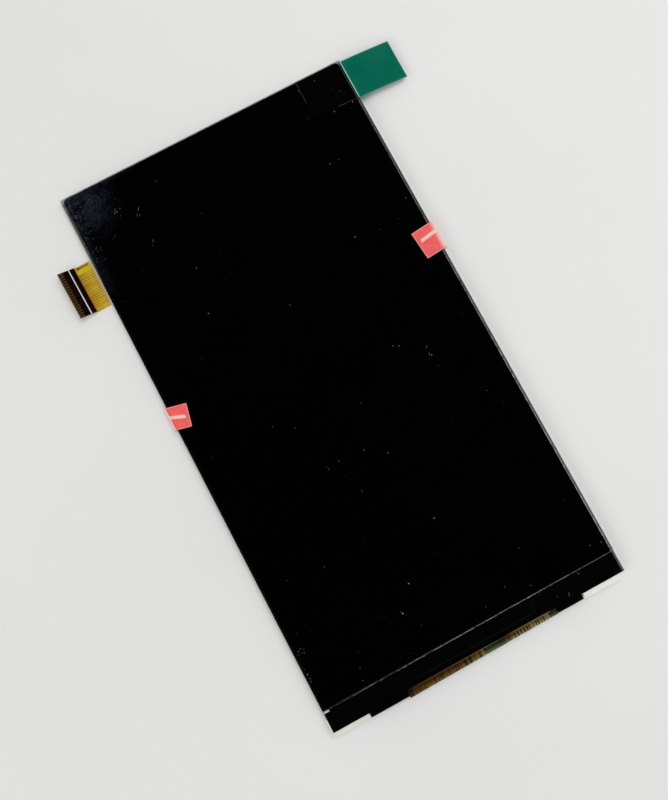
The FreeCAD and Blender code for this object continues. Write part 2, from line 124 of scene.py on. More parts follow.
class Shape:
    """Collects the parts of one mesh, in millimetres."""

    def __init__(self):
        self.points = []
        self.faces = []

    def add(self, points, faces):
        start = len(self.points)
        self.points += [Vector(p) for p in points]
        self.faces += [tuple(start + i for i in f) for f in faces]

    def strip(self, frames, half, tall, sink=SINK, shoulder=0.6):
        # flat-topped strip along frames of (point, side, up), closed at both ends
        ring = []
        for point, side, up in frames:
            ring.append(point - side * half - up * sink)
            ring.append(point - side * half * shoulder + up * tall)
            ring.append(point + side * half * shoulder + up * tall)
            ring.append(point + side * half - up * sink)
        faces = [(0, 1, 2, 3)]
        for k in range(len(frames) - 1):
            a = 4 * k
            for j in range(4):
                n = (j + 1) % 4
                faces.append((a + j, a + 4 + j, a + 4 + n, a + n))
        e = 4 * (len(frames) - 1)
        faces.append((e + 3, e + 2, e + 1, e))
        self.add(ring, faces)

    def loop(self, rings):
        # closed band through rings of equal length
        size = len(rings[0])
        faces = []
        for k in range(len(rings)):
            a = size * k
            b = size * ((k + 1) % len(rings))
            for j in range(size):
                n = (j + 1) % size
                faces.append((a + j, b + j, b + n, a + n))
        self.add([p for ring in rings for p in ring], faces)

    def washer(self, centre, inner, outer, tall, up, sides=20):
        # flat ring on a face that looks along up
        low = centre - up * SINK
        high = centre + up * tall
        rings = []
        for ray in rays(up, sides):
            rings.append([low + ray * outer, high + ray * outer, high + ray * inner, low + ray * inner])
        self.loop(rings)

    def pad(self, centre, radius, tall, up, sides=16):
        # low round pad with a bevelled rim
        points = []
        for level, size in ((-SINK, 1.0), (tall * 0.7, 1.0), (tall, 0.86)):
            points += [centre + ray * (radius * size) + up * level for ray in rays(up, sides)]
        faces = [tuple(range(sides))[::-1], tuple(range(2 * sides, 3 * sides))]
        for r in range(2):
            a = r * sides
            for k in range(sides):
                n = (k + 1) % sides
                faces.append((a + k, a + n, a + sides + n, a + sides + k))
        self.add(points, faces)

    def grain(self, centre, turn, sizes, rng, sides=6):
        # small irregular speck lying on a face that looks up
        length, width, tall = sizes
        one = Vector((math.cos(turn), math.sin(turn), 0.0))
        two = Vector((-math.sin(turn), math.cos(turn), 0.0))
        points = []
        for level, size in ((-SINK, 1.0), (0.6 * tall, 0.8)):
            for k in range(sides):
                a = 2.0 * math.pi * k / sides
                reach = size * rng.uniform(0.75, 1.15)
                flat = one * (math.cos(a) * length * reach) + two * (math.sin(a) * width * reach)
                points.append(centre + flat + UP * level)
        points.append(centre + UP * tall)
        faces = [tuple(range(sides))[::-1]]
        for k in range(sides):
            n = (k + 1) % sides
            faces.append((k, n, sides + n, sides + k))
            faces.append((sides + k, sides + n, 2 * sides))
        self.add(points, faces)

    def make(self, name, material):
        mesh = bpy.data.meshes.new(name)
        mesh.from_pydata([tuple(p * MM) for p in self.points], [], self.faces)
        work = bmesh.new()
        work.from_mesh(mesh)
        bmesh.ops.recalc_face_normals(work, faces=work.faces)
        work.to_mesh(mesh)
        work.free()
        mesh.materials.append(material)
        obj = add_object(name, mesh)
        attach(obj, "root")


def strips(name, material, slot, runs, half, tall, **more):
    # one piece made of strips that share a section, each along its own frames
    shape = Shape()
    for frames in runs:
        shape.strip(frames, half, tall, **more)
    shape.make(name, material)


def flat_frames(points, up=UP):
    # frames along a polyline that lies flat, its side square to the run, mitred at the corners
    sharpest = 0.5
    frames = []
    spots = [Vector(p) for p in points]
    for k, point in enumerate(spots):
        before = spots[max(k - 1, 0)]
        after = spots[min(k + 1, len(spots) - 1)]
        run = (after - before).normalized()
        side = run.cross(up).normalized()
        stretch = 1.0
        if 0 < k < len(spots) - 1:
            stretch = 1.0 / max((point - before).normalized().dot(run), sharpest)
        frames.append((point, side * stretch, up))
    return frames


def bend_y(x):
    # where the fold starts to bend, which is skew to the module
    return BEND_Y_L + (BEND_Y_R - BEND_Y_L) * (x - NECK_L) / (NECK_R - NECK_L)


def bend_frames(x, start, after, steps=14):
    # frames down the outer face of the folded circuit: from y = start on top, round the bend,
    # and on for the length after on the underside
    middle = Vector((x, bend_y(x), (FLEX_TOP + FLEX_LOW) / 2.0))
    frames = []
    if start > middle.y:
        frames.append((Vector((x, start, FLEX_TOP)), ALONG_X, UP))
    for k in range(steps + 1):
        a = math.pi * k / steps
        up = Vector((0.0, -math.sin(a), math.cos(a)))
        frames.append((middle + up * BEND_R, ALONG_X, up))
    if after > 0.0:
        frames.append((Vector((x, middle.y + after, FLEX_LOW)), ALONG_X, DOWN))
    return frames


def tail_spot(s, across, face=0.0):
    # place and normal on the tail at length s from the module, on its top or a little above it
    a = min(max((s - CURL_START) / CURL_R, 0.0), CURL_ANGLE)
    beyond = max(s - CURL_START - CURL_R * CURL_ANGLE, 0.0)
    along = min(s, CURL_START) + CURL_R * math.sin(a) + beyond * math.cos(a)
    height = CURL_R * (1.0 - math.cos(a)) + beyond * math.sin(a)
    normal = UP * math.cos(a) - TAIL_OUTWARD * math.sin(a)
    point = Vector((TAIL_X, TAIL_Y, 0.0)) + TAIL_OUTWARD * along + TAIL_SIDE * across + UP * height
    return point + normal * face, normal


def tail_run(s0, s1, across, face=0.0, steps=8):
    # frames of a strip along the tail
    frames = []
    for k in range(steps + 1):
        point, normal = tail_spot(s0 + (s1 - s0) * k / steps, across, face)
        frames.append((point, TAIL_SIDE, normal))
    return frames


def tail_cross(s, margin, face):
    # frames of a strip across the tail, ending a margin short of its sides
    frames = []
    for across in (margin - TAIL_HALF, 0.0, TAIL_HALF - margin):
        point, normal = tail_spot(s, across, face)
        frames.append((point, TAIL_SIDE.cross(normal), normal))
    return frames


class Sheet:
    """Upper face of a bent sheet whose section in the XZ plane follows some points."""

    def __init__(self, section, thick):
        self.spots = []
        turn = 1.0 if section[-1][0] > section[0][0] else -1.0
        for k, here in enumerate(section):
            before = section[max(k - 1, 0)]
            after = section[min(k + 1, len(section) - 1)]
            run = Vector((after[0] - before[0], after[1] - before[1])).normalized()
            normal = Vector((-run.y * turn, 0.0, run.x * turn))
            self.spots.append((Vector((here[0], 0.0, here[1])) + normal * thick, normal))

    def along(self, edge, x_from, offset=0.0):
        # frames that follow the section with y taken from a line through two places
        (xa, ya), (xb, yb) = edge
        frames = []
        for k, (spot, normal) in enumerate(self.spots):
            x = x_from if k == 0 else spot.x
            y = ya + (yb - ya) * (x - xa) / (xb - xa) + offset
            frames.append((Vector((x, y, spot.z)), ALONG_Y, normal))
        return frames


# Materials

def grey(level):
    return (level, level, level)


class Look:
    """Node tree of a material or of the world, with short calls for the nodes it uses."""

    def __init__(self, name, library=bpy.data.materials):
        self.owner = library.new(name)
        self.owner.use_nodes = True
        self.tree = self.owner.node_tree
        self.tree.nodes.clear()
        self.places = self.node("ShaderNodeTexCoord", {}).outputs
        self.coords = self.places["Object"]

    def node(self, kind, inputs, **settings):
        # new node, with a number, a colour or a link for each input that is named
        made = self.tree.nodes.new(kind)
        for key, value in settings.items():
            setattr(made, key, value)
        for key, value in inputs.items():
            self.put(made.inputs[key], value)
        return made

    def put(self, target, value):
        if hasattr(value, "links"):
            self.tree.links.new(value, target)
        elif target.type == "RGBA":
            target.default_value = (*value, 1.0)
        else:
            target.default_value = value

    def stretched(self, factors, turn=0.0):
        inputs = {"Vector": self.coords, "Scale": factors, "Rotation": (0.0, 0.0, turn)}
        return self.node("ShaderNodeMapping", inputs).outputs["Vector"]

    def noise(self, size_mm, detail=3.0, rough=0.55, vector=None):
        inputs = {"Scale": 1.0 / (size_mm * MM), "Detail": detail, "Roughness": rough}
        inputs["Vector"] = vector or self.coords
        return self.node("ShaderNodeTexNoise", inputs).outputs["Fac"]

    def cells(self, size_mm):
        inputs = {"Vector": self.coords, "Scale": 1.0 / (size_mm * MM)}
        return self.node("ShaderNodeTexVoronoi", inputs).outputs["Distance"]

    def axis(self, name):
        return self.node("ShaderNodeSeparateXYZ", {"Vector": self.coords}).outputs[name]

    def remap(self, value, low, high, new_low=0.0, new_high=1.0, smooth=False):
        inputs = {"Value": value, "From Min": low, "From Max": high, "To Min": new_low, "To Max": new_high}
        kind = "SMOOTHSTEP" if smooth else "LINEAR"
        return self.node("ShaderNodeMapRange", inputs, interpolation_type=kind).outputs["Result"]

    def slope(self, name, from_mm, to_mm, low=0.0, high=1.0):
        # goes evenly from low to high along an axis, between two places in millimetres
        return self.remap(self.axis(name), from_mm * MM, to_mm * MM, low, high)

    def band(self, name, zero_mm, one_mm):
        # goes softly from 0 to 1 along an axis, between two places in millimetres
        if zero_mm < one_mm:
            return self.remap(self.axis(name), zero_mm * MM, one_mm * MM, smooth=True)
        return self.remap(self.axis(name), one_mm * MM, zero_mm * MM, 1.0, 0.0, smooth=True)

    def gloss(self, grain, low, high):
        # roughness that follows the grain
        return self.remap(grain, 0.3, 0.7, low, high)

    def math(self, kind, a, b=0.0):
        return self.node("ShaderNodeMath", {0: a, 1: b}, operation=kind).outputs["Value"]

    def times(self, *values):
        total = values[0]
        for value in values[1:]:
            total = self.math("MULTIPLY", total, value)
        return total

    def most(self, *values):
        total = values[0]
        for value in values[1:]:
            total = self.math("MAXIMUM", total, value)
        return total

    def distance(self, x_mm, y_mm):
        # distance across the face from a place given in millimetres
        dx = self.math("SUBTRACT", self.axis("X"), x_mm * MM)
        dy = self.math("SUBTRACT", self.axis("Y"), y_mm * MM)
        return self.math("SQRT", self.math("ADD", self.times(dx, dx), self.times(dy, dy)))

    def ramp(self, value, stops):
        made = self.node("ShaderNodeValToRGB", {"Fac": value})
        elements = made.color_ramp.elements
        while len(elements) < len(stops):
            elements.new(0.5)
        for element, (place, colour) in zip(elements, stops):
            element.position = place
            element.color = (*colour, 1.0)
        return made.outputs["Color"]

    def tones(self, value, dark, light):
        return self.ramp(value, [(0.32, dark), (0.68, light)])

    def blend(self, factor, a, b):
        made = self.node("ShaderNodeMix", {"Factor": factor}, data_type="RGBA")
        colours = [s for s in made.inputs if s.type == "RGBA"]
        self.put(colours[0], a)
        self.put(colours[1], b)
        return [s for s in made.outputs if s.type == "RGBA"][0]

    def bump(self, height, strength, depth_mm):
        inputs = {"Height": height, "Strength": strength, "Distance": depth_mm * MM}
        return self.node("ShaderNodeBump", inputs).outputs["Normal"]

    def surface(self, colour, rough, normal=None, metallic=0.0, coat=0.0, spec=0.5):
        inputs = {"Base Color": colour, "Roughness": rough, "Metallic": metallic}
        inputs |= {"Coat Weight": coat, "Specular IOR Level": spec}
        if normal is not None:
            inputs["Normal"] = normal
        return self.node("ShaderNodeBsdfPrincipled", inputs).outputs["BSDF"]

    def clear(self, colour=(1.0, 1.0, 1.0)):
        return self.node("ShaderNodeBsdfTransparent", {"Color": colour}).outputs["BSDF"]

    def veil(self, colour):
        return self.node("ShaderNodeBsdfDiffuse", {"Color": colour}).outputs["BSDF"]

    def mirror(self, rough, normal):
        inputs = {"Color": grey(1.0), "Roughness": rough, "Normal": normal}
        return self.node("ShaderNodeBsdfAnisotropic", inputs).outputs["BSDF"]

    def fresnel(self, ior):
        return self.node("ShaderNodeFresnel", {"IOR": ior}).outputs["Fac"]

    def mix(self, factor, one, two):
        return self.node("ShaderNodeMixShader", {0: factor, 1: one, 2: two}).outputs["Shader"]

    def done(self, shader):
        self.node("ShaderNodeOutputMaterial", {"Surface": shader})
        return self.owner

    def finish(self, colour, grain, rough, relief, height=None, **more):
        # surface whose gloss follows the grain, and its relief too unless another height is given;
        # relief is the strength of the bump and its depth in millimetres
        normal = self.bump(height or grain, *relief)
        return self.done(self.surface(colour, self.gloss(grain, *rough), normal, **more))


def simple(name, dark, light, grain_mm, rough, metallic=0.0, coat=0.0, spec=0.5):
    # two tones over noise, with a fine grain in the surface and patches in its gloss
    look = Look(name)
    patches = look.noise(grain_mm * 6.0, 4.0)
    grain = look.noise(grain_mm, 3.0)
    both = look.math("ADD", look.times(patches, 0.6), look.times(grain, 0.4))
    more = {"metallic": metallic, "coat": coat, "spec": spec}
    return look.finish(look.tones(both, dark, light), patches, rough, (0.5, 0.004), grain, **more)


def film_look():
    # clear film with faint smears, and a bluish bloom under it at the corner next to the tail
    look = Look("film")
    smear = look.noise(9.0, 5.0, 0.6, look.stretched((1.0, 0.45, 1.0), 0.5))
    normal = look.bump(look.noise(2.5, 2.0), 0.1, 0.003)
    mirror = look.mirror(look.remap(smear, 0.35, 0.75, 0.04, 0.16), normal)
    film = look.mix(look.fresnel(1.45), look.clear(), mirror)
    far = look.distance(FILM_X0 + 3.6, FILM_Y1 - 3.4)
    streaks = look.remap(look.noise(0.5, 5.0, 0.75, look.stretched((1.0, 0.6, 1.0), -0.4)), 0.42, 0.66)
    near = look.times(look.remap(far, 1.0 * MM, 8.5 * MM, 1.0, 0.0, True), 0.021)
    side = look.times(look.band("X", -29.0, -31.2), look.band("Y", 30.0, 48.0), 0.01)
    cloud = look.remap(look.noise(3.0, 3.0), 0.38, 0.6, 0.25, 1.45)
    bloom = look.times(look.math("ADD", near, side), cloud, look.remap(streaks, 0.0, 1.0, 0.3, 1.9))
    rim_left = look.times(look.band("X", -30.0, -31.4), look.band("Y", 40.0, 54.0), 0.022)
    rim_top = look.times(look.band("Y", 57.9, 58.9), look.band("X", -12.0, -26.0), 0.035)
    rim = look.times(look.most(rim_left, rim_top), streaks)
    return look.done(look.mix(look.math("ADD", bloom, rim), film, look.veil((0.38, 0.45, 0.74))))


def polariser_look():
    look = Look("polariser")
    smear = look.noise(14.0, 4.0)
    colour = look.tones(smear, (0.0003, 0.0003, 0.0004), (0.0009, 0.0008, 0.0009))
    return look.finish(colour, smear, (0.1, 0.18), (0.15, 0.003), look.noise(1.2, 2.0), spec=0.15)


def glass_look():
    # panel glass over its black border: grey where the bare rim shows at the right, with painted light that
    # makes it brighter towards the bottom, and paler at the top end, with painted light where the white
    # frame below shows through the glass
    look = Look("panel_glass")
    grain = look.noise(0.5, 5.0, 0.65)
    mottle = look.remap(grain, 0.3, 0.7, 0.65, 1.3)
    # painted light: the rim on the right and its outer edge get brighter towards the bottom
    right = look.times(look.band("X", 31.6, 31.8), look.slope("Y", -58.0, 50.0, 0.085, 0.045))
    outer = look.times(look.band("X", 32.02, 32.12), look.slope("Y", -58.0, 50.0, 0.3, 0.14))
    top = look.times(look.band("Y", 59.0, 59.25), 0.42)
    far_side = look.most(look.band("X", 30.9, 31.5), look.band("X", -30.8, -31.3))
    corner = look.times(far_side, look.band("Y", 58.0, 58.5), 0.3)
    left = look.times(look.band("X", -31.55, -31.85), look.band("Y", 36.0, 48.0), 0.13)
    level = look.times(look.most(right, outer, top, corner, left, 0.003), mottle)
    colour = look.blend(level, grey(0.0), (1.0, 1.0, 0.9))
    return look.finish(colour, grain, (0.12, 0.3), (0.2, 0.004), look.cells(0.35), spec=0.3)


def moulding_look():
    # white moulding, with painted shade that makes it darker and yellower towards the left end
    look = Look("white_moulding")
    grain = look.noise(0.25, 3.0)
    patches = look.noise(4.0, 4.0)
    lit_white = look.tones(patches, (0.8, 0.79, 0.75), (0.86, 0.855, 0.82))
    shaded_white = look.tones(patches, (0.7, 0.675, 0.6), (0.78, 0.76, 0.69))
    # painted shade: blends to the darker, yellower tone towards the left end
    colour = look.blend(look.band("X", 22.0, -24.0), lit_white, shaded_white)
    return look.finish(colour, grain, (0.35, 0.5), (0.4, 0.008), spec=0.35)


def tape_look():
    # black tape, rubbed grey at its outer corner on the right
    look = Look("black_tape")
    weave = look.noise(0.18, 2.0, 0.5, look.stretched((1.0, 0.35, 1.0)))
    patches = look.noise(3.0, 4.0)
    colour = look.tones(patches, grey(0.0007), (0.0014, 0.0013, 0.0013))
    worn = look.times(look.band("X", 29.9, 31.3), look.band("Y", -57.2, -58.4), look.remap(weave, 0.4, 0.7))
    colour = look.blend(worn, colour, (0.012, 0.012, 0.01))
    return look.finish(colour, patches, (0.28, 0.4), (0.4, 0.005), weave, spec=0.03)


def fold_colour(look, patches):
    # the fold is brown at the left, yellower at the right; painted shade makes it darkest where it leaves
    # the tape, and painted light makes it lighter round the outside of the bend
    along = look.slope("X", NECK_L, NECK_R)
    top = look.ramp(along, [
        (0.0, (0.004, 0.002, 0.001)), (0.045, (0.05, 0.018, 0.002)), (0.35, (0.056, 0.02, 0.003)),
        (0.43, (0.07, 0.037, 0.007)), (0.46, (0.115, 0.062, 0.015)), (0.5, (0.06, 0.03, 0.005)),
        (0.68, (0.055, 0.026, 0.005)), (0.72, (0.09, 0.052, 0.015)), (0.82, (0.16, 0.105, 0.032)),
        (1.0, (0.125, 0.092, 0.034)),
    ])
    outer = look.ramp(along, [
        (0.0, (0.05, 0.036, 0.01)), (0.045, (0.155, 0.086, 0.014)), (0.42, (0.19, 0.125, 0.028)),
        (0.5, (0.22, 0.16, 0.06)), (0.68, (0.27, 0.215, 0.105)), (0.8, (0.36, 0.295, 0.16)),
        (1.0, (0.33, 0.29, 0.18)),
    ])
    # lit and shaded copies of one colour: painted shade next to the tape, painted light round the outside
    # of the bend
    colour = look.blend(look.band("Y", -58.75, -59.75), top, outer)
    return look.blend(look.remap(patches, 0.38, 0.62, 0.0, 0.5), colour, (0.02, 0.008, 0.002))


def amber_look():
    # amber film over copper: yellow on the tail, brown where it is folded and on the body
    look = Look("amber_circuit")
    patches = look.noise(1.4, 4.0, 0.6)
    lines = look.noise(0.22, 2.0, 0.5, look.stretched((0.06, 1.0, 1.0), TAIL_TURN))
    inner = look.ramp(patches, [
        (0.3, (0.56, 0.3, 0.03)), (0.5, (0.58, 0.38, 0.03)), (0.7, (0.6, 0.46, 0.034)),
    ])
    outer = look.ramp(patches, [
        (0.3, (0.46, 0.21, 0.018)), (0.5, (0.46, 0.27, 0.02)), (0.7, (0.48, 0.33, 0.02)),
    ])
    tail = look.blend(look.band("X", -35.6, -33.4), outer, inner)
    tail = look.blend(look.times(look.band("X", -33.0, -32.4), 0.6), tail, (0.62, 0.54, 0.32))
    brown = look.tones(patches, (0.17, 0.08, 0.016), (0.27, 0.14, 0.03))
    colour = look.blend(look.band("X", -31.0, -31.8), brown, tail)
    colour = look.blend(look.band("Y", -58.1, -58.3), colour, fold_colour(look, patches))
    return look.finish(colour, patches, (0.32, 0.45), (0.4, 0.005), lines, spec=0.08)


def stiffener_look():
    look = Look("stiffener")
    patches = look.noise(0.8, 4.0)
    colour = look.tones(patches, (0.0035, 0.0008, 0.0004), (0.0095, 0.0022, 0.001))
    return look.finish(colour, patches, (0.26, 0.4), (0.4, 0.004), look.noise(0.15, 2.0), spec=0.05)


def green_look():
    # clear on the film, where it is only glued down, and green past the edge of the module
    look = Look("green_tab")
    patches = look.noise(3.5, 3.0)
    free = look.band("X", 31.85, 32.1)
    green = look.tones(patches, (0.06, 0.63, 0.55), (0.08, 0.65, 0.575))
    tint = look.blend(free, (0.96, 0.97, 0.96), green)
    colour = look.tones(patches, (0.0004, 0.15, 0.088), (0.001, 0.172, 0.112))
    colour = look.blend(free, (0.0005, 0.0007, 0.0006), colour)
    normal = look.bump(look.noise(2.4, 2.0), 0.12, 0.006)
    rough = look.gloss(patches, 0.12, 0.2)
    body = look.surface(colour, rough, normal, spec=0.0)
    sheet = look.mix(look.times(free, 0.78), look.clear(tint), body)
    return look.done(look.mix(look.fresnel(1.42), sheet, look.mirror(rough, normal)))


def seal_look():
    # red print on paper, with painted highlights that make it pale where it goes over the edges of the
    # module
    look = Look("red_seal")
    patches = look.noise(1.1, 5.0, 0.65)
    threads = look.noise(0.14, 2.0, 0.5, look.stretched((0.14, 1.0, 1.0), -0.1))
    both = look.math("ADD", look.times(patches, 0.55), look.times(threads, 0.45))
    colour = look.ramp(both, [
        (0.34, (0.8, 0.1, 0.1)), (0.52, (0.88, 0.125, 0.12)), (0.7, (0.9, 0.17, 0.15)),
    ])
    # painted highlight on the bulge over the right edge, painted glow on the left one
    right = look.times(look.band("X", 31.5, 32.9), look.remap(patches, 0.3, 0.6, 0.75, 1.0))
    left = look.times(look.band("X", -32.1, -32.45), 0.85)
    colour = look.blend(look.most(right, left), colour, (0.9, 0.66, 0.62))
    # painted shade in the crease where the left seal bends over the edge
    crease = look.times(look.band("X", -31.75, -31.95), look.band("X", -32.25, -32.1), 0.4)
    colour = look.blend(crease, colour, (0.55, 0.1, 0.09))
    return look.finish(colour, patches, (0.4, 0.55), (0.5, 0.012), both, spec=0.3)


def reflector_look():
    look = Look("reflector")
    patches = look.noise(12.0, 4.0)
    height = look.math("ADD", look.times(look.cells(0.55), 0.3), patches)
    colour = look.tones(patches, (0.6, 0.61, 0.63), (0.72, 0.73, 0.74))
    return look.finish(colour, patches, (0.22, 0.34), (0.25, 0.02), height, metallic=0.55)


def lamp_look():
    # white case, yellow window towards the light guide
    look = Look("lamp")
    grain = look.noise(0.12, 3.0)
    white = look.tones(grain, (0.74, 0.73, 0.7), (0.84, 0.83, 0.8))
    yellow = look.tones(grain, (0.72, 0.52, 0.06), (0.85, 0.66, 0.12))
    colour = look.blend(look.band("Y", -56.95, -56.8), white, yellow)
    return look.finish(colour, grain, (0.3, 0.45), (0.3, 0.004))


def paste_look():
    # silver paste: bright where it lies thick, dull against the step
    look = Look("silver_paste")
    grain = look.noise(0.12, 4.0)
    bright = look.tones(grain, (0.36, 0.36, 0.34), (0.72, 0.72, 0.68))
    colour = look.blend(look.band("Y", -54.5, -54.25), bright, grey(0.03))
    return look.finish(colour, grain, (0.3, 0.5), (0.6, 0.02))


LOOKS = {
    "clear_film": film_look(),
    "polariser": polariser_look(),
    "panel_glass": glass_look(),
    "white_moulding": moulding_look(),
    "reflector": reflector_look(),
    "lamp": lamp_look(),
    "silver_paste": paste_look(),
    "black_tape": tape_look(),
    "amber_circuit": amber_look(),
    "stiffener": stiffener_look(),
    "green_tab": green_look(),
    "red_seal": seal_look(),
}

# Looks of two plain tones: dark, light, size of the grain, roughness from and to, metal, coat
PLAIN_LOOKS = {
    "rim_adhesive": (grey(0.004), grey(0.01), 0.3, (0.5, 0.7)),
    "optical_sheet": ((0.74, 0.74, 0.72), (0.84, 0.84, 0.83), 0.5, (0.4, 0.6)),
    "light_guide": ((0.66, 0.69, 0.7), (0.78, 0.8, 0.8), 0.9, (0.1, 0.2)),
    "lamp_strip": ((0.66, 0.65, 0.6), (0.8, 0.79, 0.75), 0.3, (0.3, 0.45)),
    "capacitor": ((0.3, 0.19, 0.1), (0.42, 0.28, 0.16), 0.1, (0.3, 0.5)),
    "resistor": ((0.012, 0.012, 0.013), (0.03, 0.03, 0.032), 0.1, (0.3, 0.5)),
    "diode_body": ((0.01, 0.01, 0.011), (0.022, 0.022, 0.023), 0.1, (0.35, 0.5)),
    "amber_tape": ((0.5, 0.27, 0.04), (0.64, 0.38, 0.08), 0.8, (0.16, 0.28), 0.0, 0.2),
    "solder": (grey(0.52), (0.74, 0.74, 0.73), 0.15, (0.2, 0.38), 1.0),
    "gold_plate": ((0.7, 0.46, 0.16), (0.86, 0.62, 0.26), 0.2, (0.2, 0.34), 1.0),
    "silicon": ((0.1, 0.1, 0.115), (0.17, 0.17, 0.19), 1.2, (0.08, 0.16), 0.4),
}
for key, values in PLAIN_LOOKS.items():
    LOOKS[key] = simple(key, *values)


def dress_nodes():
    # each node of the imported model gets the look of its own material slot
    for part in frame["record"]["subparts"]:
        for slot in frame["nodes"][part["node"]].material_slots:
            slot.material = LOOKS[part["material_slot"]]


# Film: cut edge, dust and scratches

CORNER_R = 1.0
FOOT_R = 0.3
BURR_REACH = (0.08, 0.16)
BURR_RISE = (0.006, 0.016)
BURR_LAP = 0.03
BURR_DROP = 0.07


def film_outline(step=1.1):
    # outline of the film as points with the direction that looks out of it
    corners = [
        (FILM_X1, FILM_Y1, CORNER_R, 0.0), (FILM_X0, FILM_Y1, CORNER_R, 90.0),
        (FILM_X0, FILM_Y0, FOOT_R, 180.0), (FILM_X1, FILM_Y0, FOOT_R, 270.0),
    ]
    arcs = []
    for x, y, radius, start in corners:
        cx = x - radius if x > 0 else x + radius
        cy = y - radius if y > 0 else y + radius
        arc = []
        for k in range(6):
            a = math.radians(start + 18.0 * k)
            ray = Vector((math.cos(a), math.sin(a), 0.0))
            arc.append((Vector((cx, cy, FILM_Z)) + ray * radius, ray))
        arcs.append(arc)
    spots = []
    for k, arc in enumerate(arcs):
        spots += arc
        here, ray = arc[-1]
        there = arcs[(k + 1) % 4][0][0]
        count = int((there - here).length / step)
        spots += [(here + (there - here) * j / count, ray) for j in range(1, count)]
    return spots


def edge_look():
    # cut edge with painted highlights: brightest low on the right side, brighter towards the right along
    # the step, fainter at the top and next to the tail
    look = Look("film_edge")
    speckle = look.noise(0.6, 5.0, 0.75)
    run = look.noise(4.0, 3.0)
    right = look.times(look.band("X", 31.2, 31.6), look.slope("Y", -52.0, 50.0, 0.42, 0.1))
    step = look.times(look.band("Y", -53.7, -53.9), look.slope("X", -30.0, 30.0, 0.01, 0.14))
    top = look.times(look.band("Y", 58.5, 58.9), 0.1)
    left = look.times(look.band("X", -31.2, -31.5), look.band("Y", 40.0, 52.0), 0.1)
    # painted highlight: how bright the edge is, by side and place
    amount = look.times(look.most(right, step, top, left, 0.003), look.remap(speckle, 0.38, 0.6, 0.2, 1.5))
    amount = look.times(amount, look.remap(run, 0.3, 0.65, 0.6, 1.2))
    colour = look.blend(amount, grey(0.0), (1.0, 1.0, 0.95))
    return look.finish(colour, speckle, (0.4, 0.6), (0.5, 0.01), spec=0.04)


def film_edge():
    # thin frayed burr that hangs over the cut edge down to the glass
    rng = random.Random(3)
    foot = FILTER_Z - FILM_Z
    rings = []
    for point, ray in film_outline():
        reach = rng.uniform(*BURR_REACH)
        rise = rng.uniform(*BURR_RISE)
        inner = point - ray * BURR_LAP
        outer = point + ray * reach
        crest = point + ray * reach * 0.5
        rings.append([
            inner + UP * foot, inner + UP * rise, crest + UP * rise * 0.5,
            outer - UP * BURR_DROP, outer + UP * foot,
        ])
    shape = Shape()
    shape.loop(rings)
    shape.make("film_edge", edge_look())


# Rim of the upper glass at the step: a line a little skew to the module
STEP_X = (-31.6, 31.8)
STEP_Y = -54.215
STEP_SKEW = 0.0042
STEP_Z = 1.2
STEP_HALF = 0.047
STEP_TALL = 0.05
STEP_SINK = 0.04


def step_look():
    look = Look("step_glint")
    speckle = look.noise(0.5, 5.0, 0.75)
    fine = look.remap(speckle, 0.42, 0.52, 0.9, 0.0)
    broad = look.remap(look.noise(2.2, 3.0), 0.38, 0.47, 0.9, 0.0)
    amount = look.ramp(look.slope("X", -32.0, 32.0), [
        (0.0, grey(0.1)), (0.2, grey(0.26)), (0.5, grey(0.36)), (0.8, grey(0.75)), (1.0, grey(0.9)),
    ])
    colour = look.blend(look.most(fine, broad), amount, grey(0.006))
    return look.finish(colour, speckle, (0.4, 0.6), (0.4, 0.01), spec=0.2)


def step_glint():
    # chipped rim that catches the light with gaps, mostly towards the right
    rng = random.Random(17)
    points = []
    x = STEP_X[0]
    while x < STEP_X[1]:
        points.append((x, STEP_Y + STEP_SKEW * x + rng.uniform(-0.03, 0.03), STEP_Z))
        x += rng.uniform(0.5, 1.1)
    shape = Shape()
    shape.strip(flat_frames(points), STEP_HALF, STEP_TALL, sink=STEP_SINK, shoulder=0.85)
    shape.make("step_glint", step_look())


# Scuffs on the tape from place to place, and chips with their half size
SCUFFS = [
    ((20.2, -57.75), (20.5, -57.35)), ((20.5, -57.35), (20.42, -56.95)),
    ((23.8, -54.5), (24.05, -55.1)), ((-9.95, -54.55), (-9.8, -54.3)),
]
CHIPS = [(18.15, -56.7, 0.09), (15.3, -54.75, 0.08), (-6.4, -57.2, 0.07), (31.9, -56.5, 0.1)]


def ledge_marks():
    # small scuffs on the black tape and one chip at the corner of the glass
    rng = random.Random(29)
    shape = Shape()
    for a, b in SCUFFS:
        shape.strip(flat_frames([(*a, TAPE_Z), (*b, TAPE_Z)]), half=0.045, tall=0.006)
    for x, y, size in CHIPS:
        turn = rng.uniform(0.0, math.pi)
        shape.grain(Vector((x, y, TAPE_Z)), turn, (size, size * 0.7, size * 0.5), rng)
    look = simple("ledge_mark", (0.05, 0.05, 0.055), (0.16, 0.16, 0.17), 0.3, (0.5, 0.7), spec=0.2)
    shape.make("ledge_marks", look)


def dust_look():
    look = Look("dust")
    grain = look.noise(0.12, 3.0)
    colour = look.tones(grain, grey(0.34), (0.7, 0.7, 0.68))
    return look.finish(colour, grain, (0.6, 0.9), (0.5, 0.01))


